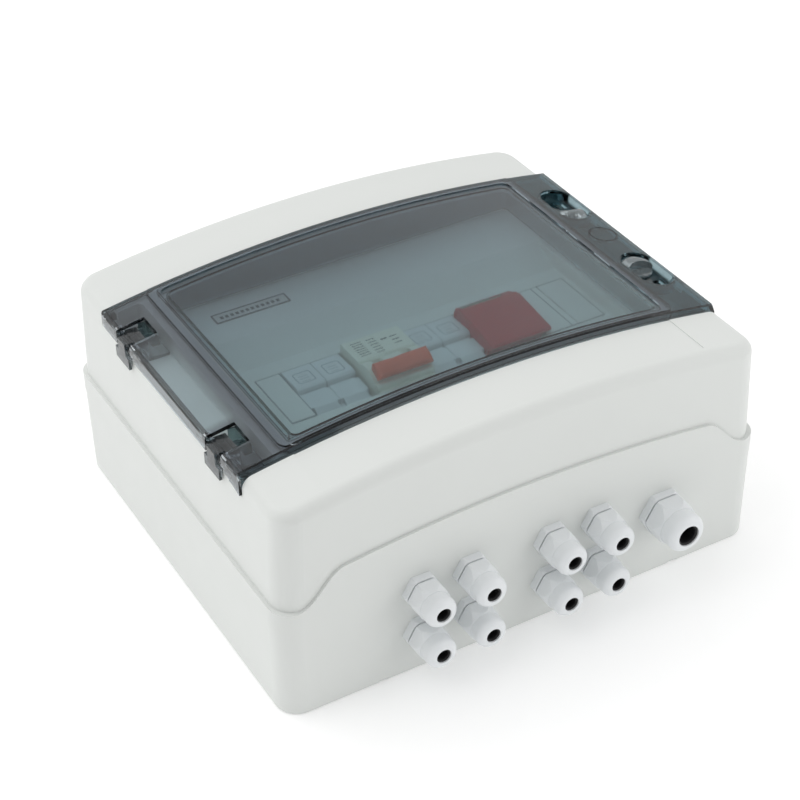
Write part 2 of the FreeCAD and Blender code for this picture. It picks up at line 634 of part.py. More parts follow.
def make_fuse_base(x0):
    collar = 106.0
    body = side_profile(device_outline(collar), x0, x0 + MODULE)
    mid = x0 + MODULE / 2
    pocket = box(x0 + 1.6, x0 + MODULE - 1.6, RAIL_Y - 21.0, RAIL_Y + 21.0, 84.0, 120)
    front_gap = box(x0 + 1.6, x0 + MODULE - 1.6, RAIL_Y - 30.0, RAIL_Y, 97.0, 120)
    ends = (x0 - 1, CARRIER_Y, CARRIER_Z), (x0 + MODULE + 1, CARRIER_Y, CARRIER_Z)
    cheek_pin = rod(1.5 + RUNNING, *ends)
    return body.cut(group([pocket, front_gap, cheek_pin] + terminal_holes(mid)))


def make_fuse_carrier(x0):
    """The swing-out fuse carrier: a grip bar, a flap and a cradle, with its two trunnions."""
    left, right = x0 + 1.9, x0 + MODULE - 1.9
    wide_left, wide_right = x0 + 0.1, x0 + MODULE - 0.1
    cradle = box(left, right, RAIL_Y - 19.5, RAIL_Y + 19.5, 92.0, 107.0)
    bar = side_profile([(4.8, 106.3), (4.8, 110.4), (3.8, 111.4), (-14.0, 112.0), (-15.6, 111.2),
                        (-16.4, 109.4), (-16.6, 106.3)], wide_left, wide_right)
    flap = side_profile([(-17.4, 106.3), (-17.4, 109.2), (-18.0, 109.6), (-31.0, 109.2),
                         (-31.0, 106.3)], wide_left, wide_right)
    nose = side_profile([(-30.0, 109.2), (-31.5, 109.1), (-35.8, 106.6), (-36.8, 104.5),
                         (-36.8, 101.0), (-30.0, 101.0)], left, right)
    strip = box(wide_left, wide_right, -31.0, 4.8, 106.3, 107.0)
    notch = rod(1.5, (wide_right - 0.4, -17.6, 100), (wide_right - 0.4, -17.6, 120))
    pins = rod(1.5, (x0 + 0.3, CARRIER_Y, CARRIER_Z), (x0 + MODULE - 0.3, CARRIER_Y, CARRIER_Z))
    tube = rod(5.3, (x0 + MODULE / 2, RAIL_Y - 17.0, 99.0), (x0 + MODULE / 2, RAIL_Y + 19.2, 99.0))
    clear = box(x0 + 3.6, x0 + MODULE - 3.6, RAIL_Y - 17.0, RAIL_Y + 19.2, 88.0, 99.0)
    carrier = fuse([cradle, bar, flap, nose, strip, pins]).cut(notch).cut(tube)
    return carrier.cut(clear)


def make_fuse_link(x0):
    """A 10 x 38 mm cartridge fuse with its end caps."""
    x, y = x0 + MODULE / 2, RAIL_Y + 1.1
    barrel = rod(4.7, (x, y - 17.0, 99.0), (x, y + 17.0, 99.0))
    caps = [rod(5.0, (x, y + start, 99.0), (x, y + start + 9.0, 99.0)) for start in (-18.0, 9.0)]
    return fuse([barrel] + caps)


def make_breaker_body():
    x0, x1 = BREAKER_X
    body = side_profile(device_outline(PANEL_Z), x0, x1)
    nose = side_profile([(RAIL_Y - 20.6, 108), (RAIL_Y - 20.6, 112.6), (RAIL_Y - 19.8, 113.4),
                         (-15.9, 113.4), (-15.9, 115.6), (-14.8, 116.5), (4.3, 116.5), (5.1, 115.7),
                         (5.1, 108)], x0, x1)
    drum = rod(HANDLE_IN - 0.3, (x0, HANDLE_Y, HANDLE_Z), (x1, HANDLE_Y, HANDLE_Z))
    drum = drum.common(box(x0, x1, RAIL_Y - 20.6, -12.0, 108, 130))
    body = fuse([body, nose, drum])
    cuts = terminal_holes(x0 + MODULE / 2) + terminal_holes(x1 - MODULE / 2)
    for mid in (x0 + MODULE / 2, x1 - MODULE / 2):
        slot = ring_sector(0.2, HANDLE_IN + 0.4, -42, 32, mid - 2.9, mid + 2.9)
        cuts += [slot, rod(4.0, (mid - 2.9, HANDLE_Y, HANDLE_Z), (mid + 2.9, HANDLE_Y, HANDLE_Z))]
    cuts.append(rod(1.5 + RUNNING, (x0 + 2, HANDLE_Y, HANDLE_Z), (x1 - 2, HANDLE_Y, HANDLE_Z)))
    middle = (x0 + x1) / 2
    cuts.append(box(middle - 0.12, middle + 0.12, -60, 30, 112.8, 120))
    return body.cut(group(cuts))


def ring_sector(r_in, r_out, angle0, angle1, x0, x1):
    """Part of a ring round the handle's axis; angles are from upright, towards the back."""
    def at(r, angle):
        a = math.radians(angle)
        return Vector(x0, HANDLE_Y + r * math.sin(a), HANDLE_Z + r * math.cos(a))
    middle = (angle0 + angle1) / 2
    wire = Part.Wire([Part.Arc(at(r_in, angle0), at(r_in, middle), at(r_in, angle1)).toShape(),
                      Part.makeLine(at(r_in, angle1), at(r_out, angle1)),
                      Part.Arc(at(r_out, angle1), at(r_out, middle), at(r_out, angle0)).toShape(),
                      Part.makeLine(at(r_out, angle0), at(r_in, angle0))])
    return Part.Face(wire).extrude(Vector(x1 - x0, 0, 0))


def make_breaker_handle():
    """The bar that joins both poles' levers, rounded outside, with a finger dip in its back."""
    x0, x1 = BREAKER_X
    bar = ring_sector(HANDLE_IN, HANDLE_OUT, -46, -13, x0 + 1.8, x1 - 0.2)
    axis_line = Vector(0, HANDLE_Y, HANDLE_Z)

    def is_outer(edge):
        spot = edge.valueAt((edge.FirstParameter + edge.LastParameter) / 2)
        return math.hypot(spot.y - axis_line.y, spot.z - axis_line.z) > HANDLE_OUT - 0.05
    bar = bar.makeFillet(2.3, edges_where(bar, is_outer))
    dip_x, dip_y, dip_r = x0 + 14.0, HANDLE_Y + 6.2, 12.0
    dip = rod(dip_r, (dip_x, dip_y, 100), (dip_x, dip_y, 140))
    parts = [bar.cut(dip), rod(1.5, (x0 + 3, HANDLE_Y, HANDLE_Z), (x1 - 3, HANDLE_Y, HANDLE_Z))]
    for mid in (x0 + MODULE / 2, x1 - MODULE / 2):
        parts.append(ring_sector(0.5, HANDLE_IN + 1.0, -40, -20, mid - 2.6, mid + 2.6))
    return fuse(parts)


def make_arrester_base():
    x0, x1 = ARRESTER_X
    body = side_profile(device_outline(104.0), x0, x1)
    pocket = box(x0 + 1.8, x1 - 1.8, RAIL_Y - 18.4, RAIL_Y + 18.4, 68.0, 130)
    cuts = [pocket] + terminal_holes(x0 + MODULE / 2) + terminal_holes(x1 - MODULE / 2)
    return body.cut(group(cuts))


def make_arrester_cartridge():
    """The plug-in arrester: a plug with two blades under a cap whose top falls to the front."""
    x0, x1 = ARRESTER_X
    plug = box(x0 + 2.0, x1 - 2.0, -34.0, 1.2, 76.0, 112.0)
    neck = box(x0, x1, -34.4, 1.6, 104.5, 112.0)
    cap = side_profile([(1.6, 110.4), (1.6, 115.8), (0.8, 117.4), (-4.6, 119.6), (-38.6, 115.4),
                        (-40.0, 114.2), (-36.6, 110.4)], x0, x1 + ARRESTER_OVERHANG)
    cap = cap.makeChamfer(0.5, edges_where(cap, lambda e: e.BoundBox.XLength < 0.1
                                           and e.BoundBox.ZMin > 114.0))
    corner = [Vector(x1, 3, 100), Vector(x1, -2, 100), Vector(x1 + 3.2, -9, 100), Vector(x1 + 3.2, 3, 100)]
    cap = cap.cut(Part.Face(Part.makePolygon(corner + corner[:1])).extrude(Vector(0, 0, 30)))
    blades = [box(x - 3.0, x + 3.0, RAIL_Y - 0.9, RAIL_Y + 0.9, 69.0, 77.0)
              for x in (x0 + MODULE / 2, x1 - MODULE / 2)]
    return fuse([plug, neck, cap] + blades).cut(arrester_window_space(0.0))


def arrester_window_space(inset):
    """The recess of the status window, along the crest of the arrester's cap."""
    middle = sum(ARRESTER_X) / 2
    return box(middle - 10 + inset, middle + 12 - inset, -3.8 + inset, -0.4 - inset, 116.2, 125)


def make_arrester_window():
    return arrester_window_space(0.05).common(box(0, 100, -10, 10, 116.2, 117.3))


def make_terminal_screws():
    """The clamp screws in the wells of every rail device."""
    mids = [x + MODULE / 2 for x in FUSE_X]
    for x0, x1 in (BREAKER_X, ARRESTER_X):
        mids += [x0 + MODULE / 2, x1 - MODULE / 2]
    screws = []
    for x in mids:
        for side in (-1, 1):
            y = RAIL_Y + side * 32.0
            head = rod(2.8, (x, y, 88.5), (x, y, 91.5))
            screws.append(head.cut(box(x - 3, x + 3, y - 0.5, y + 0.5, 90.5, 92)))
    return group(screws)


# ---------------------------------------------------------------- bars
def make_bar_supports():
    return group([box(x - 6, x + 6, BAR_Y - 8, BAR_Y + 8, WALL, BAR_Z - 4) for x in BAR_X])


def make_earth_bar():
    bar = box(BAR_X[0] - 8, BAR_X[1] + 8, BAR_Y - 4, BAR_Y + 4, BAR_Z - 4, BAR_Z + 4)
    cuts = [rod(1.7, (x, BAR_Y, BAR_Z - 10), (x, BAR_Y, BAR_Z + 10)) for x in BAR_X]
    for x in BAR_CLAMPS:
        cuts.append(rod(2.4, (x, BAR_Y - 10, BAR_Z), (x, BAR_Y + 10, BAR_Z)))
        cuts.append(rod(1.75, (x, BAR_Y, BAR_Z), (x, BAR_Y, BAR_Z + 10)))
    return bar.cut(group(cuts))


def make_bar_screws():
    screws = [pan_screw(x, BAR_Y, BAR_Z + 4.0, 1.65, 8.0, head=3.2) for x in BAR_X]
    for x in BAR_CLAMPS:
        screws.append(pan_screw(x, BAR_Y, BAR_Z + 4.0, 1.7, 3.0, head=2.6))
    return group(screws)


# ---------------------------------------------------------------- cable glands
def hex_prism(flats, start, end, turn=0):
    """A hexagonal prism along +Z with eased corners."""
    radius = flats / math.sqrt(3)
    points = []
    for i in range(6):
        a = math.radians(60 * i + turn)
        points.append(Vector(radius * math.cos(a), radius * math.sin(a), start))
    prism = Part.Face(Part.makePolygon(points + points[:1])).extrude(Vector(0, 0, end - start))
    ease = rod(radius * 0.975, (0, 0, start), (0, 0, end))
    return prism.common(ease)


def chamfered_hex(flats, start, end, turn=0):
    """A hexagon whose outer end is turned to a cone, as a nut's is."""
    cone = Part.makeCone(flats * 0.66, flats * 0.53, end - start, Vector(0, 0, start), UP)
    return hex_prism(flats, start, end, turn).common(cone)


def at_wall(shape, x, z):
    """Turn a gland piece, made along +Z from the wall's face, to point out of the cable side."""
    copy = shape.copy()
    copy.Placement = FreeCAD.Placement(Vector(x, -DEPTH / 2, z), FreeCAD.Rotation(UP, Vector(0, -1, 0)))
    return copy


def gland_body(size):
    thread, flats = size["thread"], size["flats"]
    flange = chamfered_hex(flats * 1.02, 0.02, FLANGE)
    inner_stub = rod(thread, (0, 0, -GLAND_STUB), (0, 0, 1.0))
    outer_stub = rod(thread - 0.6, (0, 0, FLANGE - 0.8), (0, 0, GLAND_STUB))
    bore = rod(size["mouth"] + 0.3, (0, 0, -20), (0, 0, 20))
    return fuse([flange, inner_stub, outer_stub]).cut(bore)


def gland_nut(size):
    """The dome nut: a hexagon that runs out into a round barrel with a large round nose."""
    flats, length, thread, mouth = size["flats"], size["length"], size["thread"], size["mouth"]
    start, hex_end, barrel_r = FLANGE + 0.9, length * 0.64, flats * 0.475
    skirt = hex_prism(flats, start, hex_end)
    lead = 0.6
    lead_in = Part.makeCone(flats * 0.545, flats * 0.585, lead, Vector(0, 0, start), UP)
    shoulder = Vector(0, 0, start + lead)
    run_out = Part.makeCone(flats * 0.63, flats * 0.49, hex_end - shoulder.z, shoulder, UP)
    skirt = skirt.common(fuse([lead_in, run_out]))
    barrel = rod(barrel_r, (0, 0, start + 0.6), (0, 0, length))
    nose = edges_where(barrel, lambda e: e.BoundBox.ZMin > length - 0.1)
    barrel = barrel.makeFillet(min(barrel_r - mouth - 0.8, 5.0), nose)
    nut = fuse([skirt, barrel])
    throat_r, taper = thread - 0.5, length - SEAL_START - 3.4
    room = fuse([rod(throat_r, (0, 0, 0), (0, 0, SEAL_START + 0.4)),
                 Part.makeCone(throat_r, mouth, taper, Vector(0, 0, SEAL_START + 0.4), UP),
                 rod(mouth, (0, 0, 10), (0, 0, length + 5))])
    return nut.cut(room)


def gland_seal(size):
    """The rubber sleeve that grips the cable, seen in the nut's mouth."""
    length, thread, mouth = size["length"], size["thread"], size["mouth"]
    top = length - 0.8
    outline = [(size["cable"], SEAL_START), (thread - 1.4, SEAL_START), (thread - 1.4, SEAL_START + 0.4),
               (mouth - 0.12, length - 3.0), (mouth - 0.12, top), (size["cable"] + 0.4, top),
               (size["cable"], top - 0.8)]
    return turned(outline, (0, 0, 0), (0, 0, 1))


def gland_lock_nut(size):
    nut = chamfered_hex(size["flats"] * 1.08, -7.6, -3.05)
    return nut.cut(rod(size["thread"] + 0.1, (0, 0, -20), (0, 0, 5)))


def save_glands():
    makers = {"bodies": gland_body, "nuts": gland_nut, "seals": gland_seal,
              "lock_nuts": gland_lock_nut}
    for size_name, size in GLANDS.items():
        for part_name, maker in makers.items():
            piece = maker(size)
            save("gland_" + size_name + "_" + part_name,
                 group([at_wall(piece, x, z) for x, z in size["places"]]))


# ---------------------------------------------------------------- all the pieces
def main():
    save("enclosure_base", make_base())
    save("enclosure_lid", make_lid())
    save("cover_plate", make_cover_plate())
    save("lid_gasket", make_gasket())
    save("lid_screws", make_lid_screws())
    save("door", make_door())
    save("door_gasket", make_door_gasket())
    save("lock_knockout_disc", make_lock_disc())
    for name, y in zip(("back", "front"), HINGE_Y):
        save("hinge_pin_" + name, make_hinge_pin(y))
        save("hinge_clip_" + name, make_hinge_clip(y))
    for name, (middle, knob) in LATCHES.items():
        side = 1 if knob < middle else -1
        save("latch_knob_" + name, placed(make_knob(side), knob))
        save("latch_cam_" + name, placed(make_cam(side), knob))
        save("latch_screw_" + name, placed(make_cam_screw(), knob))
    save("label_plate", make_label_plate())
    save("blanking_strip_left", make_blanking_strip(WINDOW_LEFT + 0.2, -77.7, []))
    save("blanking_strip_right", make_blanking_strip(67.0, WINDOW_RIGHT - 0.4, [70.6, 88.6]))
    save("mounting_rail", make_rail())
    save("rail_brackets", make_rail_brackets())
    save("rail_screws", make_rail_screws())
    save("bracket_screws", make_bracket_screws())
    for number, x0 in enumerate(FUSE_X, 1):
        save("fuse_base_%d" % number, make_fuse_base(x0))
        save("fuse_carrier_%d" % number, make_fuse_carrier(x0))
        save("fuse_link_%d" % number, make_fuse_link(x0))
    save("breaker_body", make_breaker_body())
    save("breaker_handle", make_breaker_handle())
    save("arrester_base", make_arrester_base())
    save("arrester_cartridge", make_arrester_cartridge())
    save("arrester_window", make_arrester_window())
    save("terminal_screws", make_terminal_screws())
    save("bar_supports", make_bar_supports())
    save("earth_bar", make_earth_bar())
    save("bar_screws", make_bar_screws())
    save_glands()


main()
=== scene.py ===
import json
import math

import bmesh
import bpy
from mathutils import Matrix, Vector


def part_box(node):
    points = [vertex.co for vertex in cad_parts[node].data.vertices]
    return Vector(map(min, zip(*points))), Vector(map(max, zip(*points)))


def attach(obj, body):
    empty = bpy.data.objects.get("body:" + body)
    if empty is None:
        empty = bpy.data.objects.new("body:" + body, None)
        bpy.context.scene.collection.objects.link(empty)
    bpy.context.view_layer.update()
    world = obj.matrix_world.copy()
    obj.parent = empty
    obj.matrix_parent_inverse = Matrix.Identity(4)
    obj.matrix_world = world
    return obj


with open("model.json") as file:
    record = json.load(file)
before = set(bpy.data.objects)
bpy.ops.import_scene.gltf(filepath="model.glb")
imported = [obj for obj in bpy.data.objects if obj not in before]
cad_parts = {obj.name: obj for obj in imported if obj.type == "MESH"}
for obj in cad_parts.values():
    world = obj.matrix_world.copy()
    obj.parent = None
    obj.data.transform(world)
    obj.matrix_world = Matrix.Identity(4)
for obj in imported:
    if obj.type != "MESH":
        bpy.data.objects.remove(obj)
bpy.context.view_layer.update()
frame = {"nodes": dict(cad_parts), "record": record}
NODES = frame["nodes"]
MM = 0.001

# ---------------------------------------------------------------- the view
VIEW_AZIMUTH = -29.402          # degrees, 0 looks along +Y
VIEW_ELEVATION = 36.221
VIEW_ROLL = -1.0
VIEW_DISTANCE = 1.13522         # metres
VIEW_TARGET = Vector((-0.004359, 0.002457, 0.06755))
SENSOR_WIDTH = 36.0             # millimetres
FOCAL_IN_WIDTHS = 2.48684375    # focal length over sensor width

# ---------------------------------------------------------------- surfaces
GRAIN = 900.0                   # moulded grain, spots per metre
GRAIN_DEPTH = 0.00002           # metres
MOTTLING = 9.0                  # colour patches per metre
NOISE_CORE = (0.3, 0.7)         # the span that holds most values of a noise texture
NOISE_MIDDLE = (0.35, 0.65)
CLEAR_PLASTIC_IOR = 1.45

# colour, shade of the darkest patches, roughness, then grain and its depth where they differ
PLAIN_PLASTICS = {
    "box_plastic": ((0.715, 0.735, 0.715), 0.985, 0.46, 1400.0),
    "gland_plastic": ((0.785, 0.81, 0.825), 0.97, 0.34, 1600.0, 0.00001),
    "seal_rubber": ((0.03, 0.03, 0.032), 0.8, 0.7),
    "door_seal_rubber": ((0.58, 0.62, 0.63), 0.95, 0.6),
    "gland_rubber": ((0.012, 0.012, 0.013), 0.8, 0.55),
    "dark_plastic": ((0.06, 0.062, 0.065), 0.85, 0.5),
    "screw_plastic": ((0.45, 0.46, 0.46), 0.95, 0.5),
    "support_plastic": ((0.06, 0.16, 0.42), 0.9, 0.45),
    "fuse_ceramic": ((0.82, 0.81, 0.77), 0.95, 0.35),
    "handle_plastic": ((0.80, 0.11, 0.04), 0.92, 0.3),
    "window_plastic": ((0.22, 0.34, 0.26), 0.9, 0.2, GRAIN, 0.00001)}
# colour, roughness
METALS = {
    "steel": ((0.62, 0.62, 0.62), 0.3),
    "zinc_steel": ((0.66, 0.67, 0.67), 0.38),
    "brass": ((0.76, 0.58, 0.28), 0.32)}
# the share of red, green and blue that passes through the smoked plastic; on the door the pane's
# back, the bead, the border and the edges are darkened as painted shade, the strip between the
# hinges is lightened as painted light, and the hinge edge is lightened as a painted reflection
TINTS = {
    "pane_front": (0.58, 0.71, 0.745),
    "pane_back_shade": (0.48, 0.565, 0.62),
    "bead": (0.47, 0.52, 0.565),
    "bead_latch_side_shade": (0.13, 0.15, 0.165),
    "border": (0.45, 0.49, 0.535),
    "border_latch_side_shade": (0.16, 0.28, 0.32),
    "light_between_hinges": (0.78, 0.88, 0.92),
    "edge": (0.30, 0.40, 0.43),
    "hinge_edge_reflection": (0.44, 0.48, 0.50),
    "bead_shade_line": (0.05, 0.05, 0.06),
    "clip_knuckle": (0.15, 0.17, 0.18),
    "clip_foot": (0.78, 0.82, 0.84),
    "knob": (0.44, 0.50, 0.52),
    "pocket": (0.30, 0.40, 0.40)}
BLACK = (0.012, 0.014, 0.016)   # print, the knockout's outline and the painted shade line along the door's edges

# ---------------------------------------------------------------- places, in millimetres
BEAD_LEFT, BEAD_RIGHT = -121.0, 119.0       # outer edges of the door's bead
BEAD_INSET = 1.5                            # from the door's front and back edges
BEAD_CORNER = 8.0
BEAD_WIDTH = 5.7
PANE_FADE = (-30.0, 70.0)                   # along Y, from the front tint to the painted shade at the back
HINGE_LIGHT_PATCH = (-147.0, -129.0, -46.0, 40.0)  # painted light: the paler strip between the hinges, in plan, lit through the gap at the hinge flange
EDGE_SHADE_WIDTH = 2.2                            # the painted shade along the door's edges
CLIP_FADE = (-138.0, -133.0)                # along X, from the knuckle tint to the foot tint
POCKET_LEFT, POCKET_RIGHT = -134.2, -129.6  # a pocket under a hinge slot of the door
POCKET_HALF = 9.1                           # half its inner length along Y
POCKET_WALL = 0.8
POCKET_BOTTOM, POCKET_TOP = 125.3, 130.7
POCKET_OFFSET = -1.25                       # from the middle of its clip, along Y
LABEL_SQUARES = 12
LABEL_MARGIN = 4.0
BREAKER_FACE = 116.0                        # the height where the breaker's print starts
FUSE_GRIP = 110.2                           # the height where the fuse carriers' print starts
# blocks of bars: left and right from the breaker's side, front, back, pitch, printed share
BREAKER_BARS = ((4.0, 10.5, -12.0, 2.6, 2.1, 0.30), (13.5, 18.5, -13.0, 1.5, 2.6, 0.26),
                (21.0, 25.0, -3.5, -1.5, 3.0, 0.40), (26.5, 31.0, -10.0, -1.0, 3.4, 0.22))
# snap-off scores of each strip, drawn as painted shade lines, from its left edge
STRIP_SCORES = {"blanking_strip_left": (), "blanking_strip_right": (17.6,)}


def make_camera():
    """A camera that looks at the target from the view's direction and distance."""
    az, el, roll = (math.radians(a) for a in (VIEW_AZIMUTH, VIEW_ELEVATION, VIEW_ROLL))
    back = Vector((math.sin(az) * math.cos(el), -math.cos(az) * math.cos(el), math.sin(el)))
    right = Vector((0, 0, 1)).cross(back).normalized()
    up = back.cross(right)
    side = right * math.cos(roll) + up * math.sin(roll)
    top = up * math.cos(roll) - right * math.sin(roll)
    data = bpy.data.cameras.new("camera")
    data.sensor_width = SENSOR_WIDTH
    data.lens = SENSOR_WIDTH * FOCAL_IN_WIDTHS
    data.clip_start = 0.01
    data.clip_end = 50
    camera = bpy.data.objects.new("camera", data)
    turn = Matrix((side, top, back)).transposed().to_4x4()
    camera.matrix_world = Matrix.Translation(VIEW_TARGET + back * VIEW_DISTANCE) @ turn
    bpy.context.scene.collection.objects.link(camera)
    bpy.context.scene.camera = camera


# ---------------------------------------------------------------- node helpers
class Shader:
    """A principled material built with short calls."""

    def __init__(self, name, color, roughness):
        self.material = bpy.data.materials.new(name)
        self.material.use_nodes = True
        self.tree = self.material.node_tree
        self.bsdf = self.tree.nodes["Principled BSDF"]
        self.set("Base Color", (*color, 1))
        self.set("Roughness", roughness)
        self.coords = self.tree.nodes.new("ShaderNodeTexCoord").outputs["Object"]

    def set(self, socket, value):
        self.bsdf.inputs[socket].default_value = value

    def link(self, output, socket):
        self.tree.links.new(output, self.bsdf.inputs[socket])

    def node(self, kind, inputs=None, **settings):
        """A new node; an input that is a socket is linked, any other is a value."""
        node = self.tree.nodes.new(kind)
        for key, value in settings.items():
            setattr(node, key, value)
        for key, value in (inputs or {}).items():
            if isinstance(value, bpy.types.NodeSocket):
                self.tree.links.new(value, node.inputs[key])
            else:
                node.inputs[key].default_value = value
        return node

    def noise(self, scale, detail=2.0, roughness=0.5, stretch=(1, 1, 1)):
        """A noise texture in object space, with the given number of spots per metre."""
        moved = self.node("ShaderNodeMapping", {"Vector": self.coords, "Scale": stretch})
        return self.node("ShaderNodeTexNoise", {
            "Vector": moved.outputs[0], "Scale": scale, "Detail": detail,
            "Roughness": roughness}).outputs[0]

    def span(self, value, low, high, from_low, from_high):
        """The value, with from_low to from_high mapped onto low to high and clamped there."""
        return self.node("ShaderNodeMapRange", {
            "Value": value, "From Min": from_low, "From Max": from_high,
            "To Min": low, "To Max": high}).outputs[0]

    def math(self, operation, a, b=0.0):
        return self.node("ShaderNodeMath", {0: a, 1: b}, operation=operation).outputs[0]

    def tint(self, factor, color_a, color_b):
        """Colour A where the factor is 0, colour B where it is 1."""
        mix = self.node("ShaderNodeMix", {"Factor": factor}, data_type="RGBA")
        for key, value in (("A", color_a), ("B", color_b)):
            socket = [i for i in mix.inputs if i.name == key and i.type == "RGBA"][0]
            if isinstance(value, bpy.types.NodeSocket):
                self.tree.links.new(value, socket)
            else:
                socket.default_value = (*value, 1)
        return [o for o in mix.outputs if o.type == "RGBA"][0]

    def axis(self, name):
        """One object coordinate, in millimetres."""
        parts = self.node("ShaderNodeSeparateXYZ", {"Vector": self.coords})
        return self.math("DIVIDE", parts.outputs[name], MM)

    def outside(self, x0, x1, y0, y1, radius):
        """Millimetres outside an upright column with round corners; negative inside."""
        reach = []
        for name, low, high in (("X", x0, x1), ("Y", y0, y1)):
            offset = self.math("ABSOLUTE", self.math("SUBTRACT", self.axis(name), (low + high) / 2))
            reach.append(self.math("SUBTRACT", offset, (high - low) / 2 - radius))
        squares = [self.math("POWER", self.math("MAXIMUM", r, 0.0), 2.0) for r in reach]
        corner = self.math("SQRT", self.math("ADD", squares[0], squares[1]))
        flat = self.math("MINIMUM", self.math("MAXIMUM", reach[0], reach[1]), 0.0)
        return self.math("SUBTRACT", self.math("ADD", corner, flat), radius)

    def inside_box(self, x0, x1, y0, y1, soft=0.15):
        """1 inside a rectangle in plan, 0 outside."""
        return self.span(self.outside(x0, x1, y0, y1, 0.01), 1, 0, -soft, soft)

    def line(self, distance, place, core, fade, strength=1):
        """The strength where the distance is within core of the place, fading to 0 at fade."""
        away = self.math("ABSOLUTE", self.math("SUBTRACT", distance, place))
        return self.span(away, strength, 0, core, fade)

    def repeat(self, value, pitch, start, duty):
        """1 on regular stripes, 0 between them."""
        turn = self.math("FRACT", self.math("DIVIDE", self.math("SUBTRACT", value, start), pitch))
        return self.math("LESS_THAN", turn, duty)

    def bump(self, height, strength, distance):
        bump = self.node("ShaderNodeBump", {"Height": height, "Strength": strength,
                                            "Distance": distance})
        self.link(bump.outputs[0], "Normal")


# ---------------------------------------------------------------- materials
def darker(color, share):
    """The colour with each channel scaled by the share."""
    return tuple(c * share for c in color)


def corners_of(node):
    """A node's low and high corners at rest, in millimetres."""
    return [[v / MM for v in corner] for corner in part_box(node)]


def moulded_plastic(name, color, shade, roughness, grain=GRAIN, grain_depth=GRAIN_DEPTH):
    """Moulded plastic: a faint flow mottling in the colour and a fine spark-eroded grain."""
    s = Shader(name, color, roughness)
    mottle = s.span(s.noise(MOTTLING, 3.0, 0.55), 0, 1, *NOISE_MIDDLE)
    s.link(s.tint(mottle, color, darker(color, shade)), "Base Color")
    patches = s.noise(MOTTLING * 6)
    s.link(s.span(patches, roughness - 0.04, roughness + 0.05, *NOISE_CORE), "Roughness")
    s.bump(s.noise(grain, 2.0, 0.6), 0.35, grain_depth)
    return s


def metal(name, color, roughness):
    """Bright metal with faint drawing lines along X."""
    s = Shader(name, color, roughness)
    s.set("Metallic", 1.0)
    drawn = s.noise(220.0, 3.0, 0.6, stretch=(0.08, 1, 1))
    s.link(s.tint(s.span(drawn, 0, 1, *NOISE_CORE), color, darker(color, 0.86)), "Base Color")
    s.link(s.span(drawn, roughness - 0.06, roughness + 0.1, *NOISE_CORE), "Roughness")
    s.bump(drawn, 0.25, 0.00002)
    return s


def smoked(name, color, clearness=1.0):
    """Smoked clear polycarbonate, with faint flow streaks."""
    s = Shader(name, color, 0.06)
    s.set("Transmission Weight", clearness)
    s.set("IOR", CLEAR_PLASTIC_IOR)
    streak = s.span(s.noise(14.0), 0, 1, *NOISE_CORE)
    s.link(s.tint(streak, color, darker(color, 0.97)), "Base Color")
    s.link(s.span(s.noise(40.0), 0.045, 0.075, *NOISE_CORE), "Roughness")
    return s


def printed_label():
    """A light plate with a dark printed frame and a row of plain squares."""
    pale, ink = (0.62, 0.635, 0.62), (0.05, 0.055, 0.06)
    s = moulded_plastic("label", pale, 0.98, 0.5)
    (x0, y0, _), (x1, y1, _) = corners_of("label_plate")
    frame_line = s.span(s.outside(x0, x1, y0, y1, 0.3), 0, 1, -1.0, -0.75)
    pitch = (x1 - x0 - 2 * LABEL_MARGIN) / LABEL_SQUARES
    stripes = s.repeat(s.axis("X"), pitch, x0 + LABEL_MARGIN, 0.62)
    row = s.inside_box(x0 + 3.9, x1 - 4.1, y0 + 3.1, y1 - 3.3)
    print_mask = s.math("MAXIMUM", frame_line, s.math("MULTIPLY", stripes, row))
    s.link(s.tint(print_mask, pale, ink), "Base Color")
    return s


def breaker_plastic():
    """Cream plastic with a few plain printed bars on the face behind the handle."""
    cream = (0.80, 0.815, 0.72)
    s = moulded_plastic("breaker_plastic", cream, 0.97, 0.42)
    x0 = corners_of("breaker_body")[0][0]
    marks = 0.0
    for left, right, front, back, pitch, duty in BREAKER_BARS:
        bars = s.repeat(s.axis("Y"), pitch, front, duty)
        block = s.inside_box(x0 + left, x0 + right, front, back)
        marks = s.math("MAXIMUM", s.math("MULTIPLY", bars, block), marks)
    on_face = s.span(s.axis("Z"), 0, 1, BREAKER_FACE, BREAKER_FACE + 0.2)
    s.link(s.tint(s.math("MULTIPLY", marks, on_face), cream, BLACK), "Base Color")
    return s


def fuse_plastic():
    """Pale plastic with a painted shade line round an embossed square and a few printed bars on
    each carrier's grip.
    """
    pale, ink = (0.70, 0.73, 0.75), (0.12, 0.14, 0.18)
    half, front, back = 5.0, -11.5, -1.5        # the embossed square, in millimetres
    s = moulded_plastic("fuse_plastic", pale, 0.97, 0.45)
    marks = 0.0
    for number in range(1, 5):
        low, high = corners_of("fuse_carrier_%d" % number)
        middle = (low[0] + high[0]) / 2
        from_embossed_square = s.outside(middle - half, middle + half, front, back, 1.5)
        # painted shade: a dark line round the embossed square's edge; the bars are print
        marks = s.math("MAXIMUM", s.line(from_embossed_square, 0.0, 0.2, 0.5), marks)
        bars = s.math("MULTIPLY", s.repeat(s.axis("Y"), 2.4, front + 1.1, 0.35),
                      s.inside_box(middle - 3.0, middle + 2.6, front + 1.1, back - 1.5))
        marks = s.math("MAXIMUM", s.math("MULTIPLY", bars, 0.6), marks)
    on_grip = s.span(s.axis("Z"), 0, 0.5, FUSE_GRIP, FUSE_GRIP + 0.4)
    s.link(s.tint(s.math("MULTIPLY", marks, on_grip), pale, ink), "Base Color")
    return s


